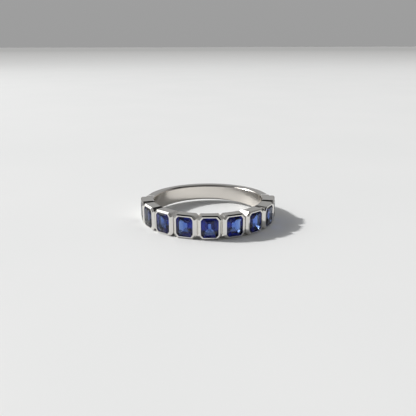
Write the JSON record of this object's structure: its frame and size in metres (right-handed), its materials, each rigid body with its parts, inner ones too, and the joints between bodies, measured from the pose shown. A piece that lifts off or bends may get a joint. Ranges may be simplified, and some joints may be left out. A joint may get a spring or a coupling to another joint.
{
  "type": "gemstone ring",
  "caption": "Finger ring with a plain tapered shank and a row of octagonal bezels round half of it, each holding a blue step-cut stone.",
  "frame": {"origin": "centre of the finger hole at half the ring's height", "axes": "+Z along the finger hole, up as the ring lies on its side; -Y through the middle stone; +X to the right of the row as seen from outside"},
  "size_m": [0.0214, 0.02, 0.0036],
  "materials": {
    "white_gold": "polished, with a finely lapped top and inside",
    "sapphire": "polished step-cut facets, deep blue"
  },
  "bodies": {
    "root": {"shank_and_bezels": "white_gold", "sapphire_1": "sapphire", "sapphire_2": "sapphire", "sapphire_3": "sapphire", "sapphire_4": "sapphire", "sapphire_5": "sapphire", "sapphire_6": "sapphire", "sapphire_7": "sapphire", "sapphire_8": "sapphire", "sapphire_9": "sapphire"}
  },
  "joints": []
}
